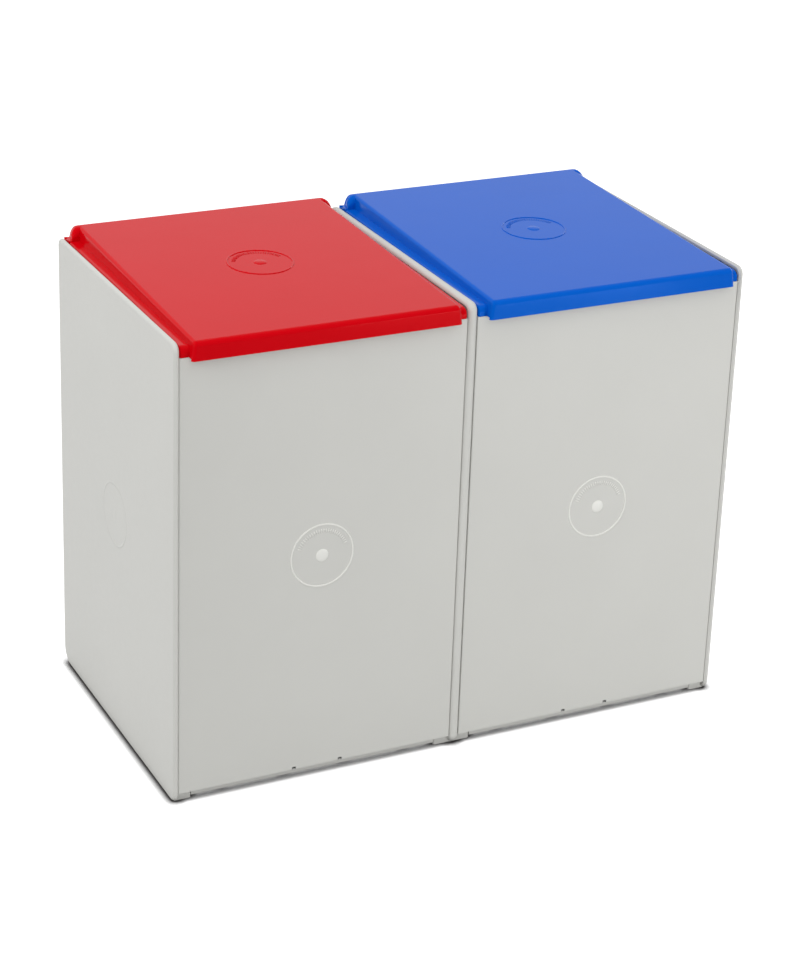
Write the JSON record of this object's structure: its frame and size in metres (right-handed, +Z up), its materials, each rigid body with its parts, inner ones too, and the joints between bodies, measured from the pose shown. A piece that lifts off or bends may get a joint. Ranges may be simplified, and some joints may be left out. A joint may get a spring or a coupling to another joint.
{
  "type": "double recycling bin",
  "caption": "Free-standing double recycling bin: clip-together plastic walls and panels that share a middle wall, with a hinged, stepped lid over each bay.",
  "frame": {"origin": "bottom centre of the whole object's bounding box, on the floor", "axes": "+X to the object's right seen from the front, +Y to the back where the hinges are, +Z up; the front with the lid lips faces -Y"},
  "size_m": [0.6, 0.3264, 0.4822],
  "materials": {
    "shell_grey": "fine satin texture",
    "lid_red": "gloss",
    "lid_blue": "gloss",
    "pin_grey": "satin"
  },
  "bodies": {
    "bin_body": {"left_side_wall": "shell_grey", "middle_wall": "shell_grey", "right_side_wall": "shell_grey", "left_front_panel": "shell_grey", "left_back_panel": "shell_grey", "left_floor": "shell_grey", "right_front_panel": "shell_grey", "right_back_panel": "shell_grey", "right_floor": "shell_grey"},
    "left_lid_body": {"left_lid": "lid_red", "left_lid_left_pin": "pin_grey", "left_lid_right_pin": "pin_grey"},
    "right_lid_body": {"right_lid": "lid_blue", "right_lid_left_pin": "pin_grey", "right_lid_right_pin": "pin_grey"}
  },
  "joints": [
    {"name": "left_lid_hinge", "type": "hinge", "parent": "bin_body", "child": "left_lid_body", "pos_m": [-0.15, 0.15525, 0.461], "axis": [-1, 0, 0], "range_deg": [0, 110]},
    {"name": "right_lid_hinge", "type": "hinge", "parent": "bin_body", "child": "right_lid_body", "pos_m": [0.15, 0.15525, 0.461], "axis": [-1, 0, 0], "range_deg": [0, 110]}
  ]
}
